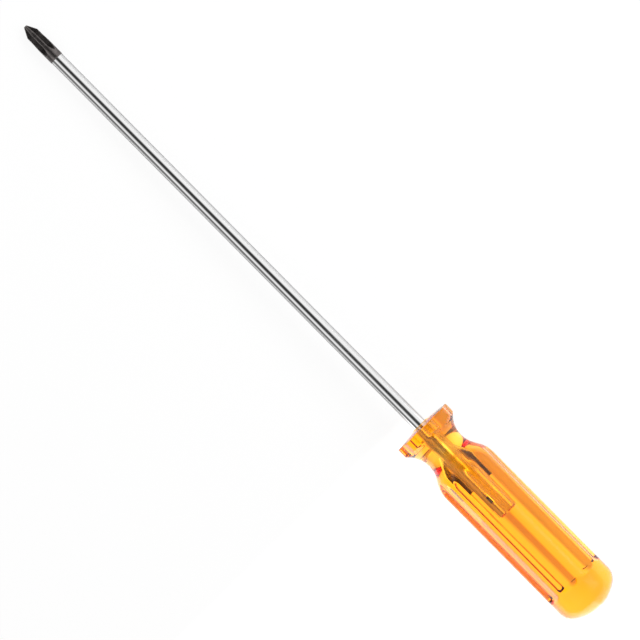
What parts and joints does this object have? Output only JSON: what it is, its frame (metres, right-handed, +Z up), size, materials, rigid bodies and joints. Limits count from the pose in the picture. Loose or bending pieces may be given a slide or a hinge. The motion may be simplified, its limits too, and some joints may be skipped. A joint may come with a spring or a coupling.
{
  "type": "screwdriver",
  "caption": "Cross-point screwdriver with a long round plated shank, a dark point and a fluted clear amber handle with a flared collar and a domed butt.",
  "frame": {"origin": "the middle of the driving point's blunt end, on the axis of the blade", "axes": "+X runs from the point along the blade to the butt of the handle; +Z is up as the tool lies, with one flute of the grip straight up and one straight down"},
  "size_m": [0.37, 0.0306, 0.0306],
  "materials": {
    "amber_plastic": "clear amber cellulose acetate, polished",
    "plated_steel": "bright nickel-chrome plate with fine drawn lines",
    "black_oxide_steel": "satin black oxide, worn on the edges",
    "bare_steel": "as pressed, dull"
  },
  "bodies": {
    "root": {"handle": "amber_plastic", "shank": "plated_steel", "driving_point": "black_oxide_steel", "anchor_tang": "bare_steel"}
  },
  "joints": []
}
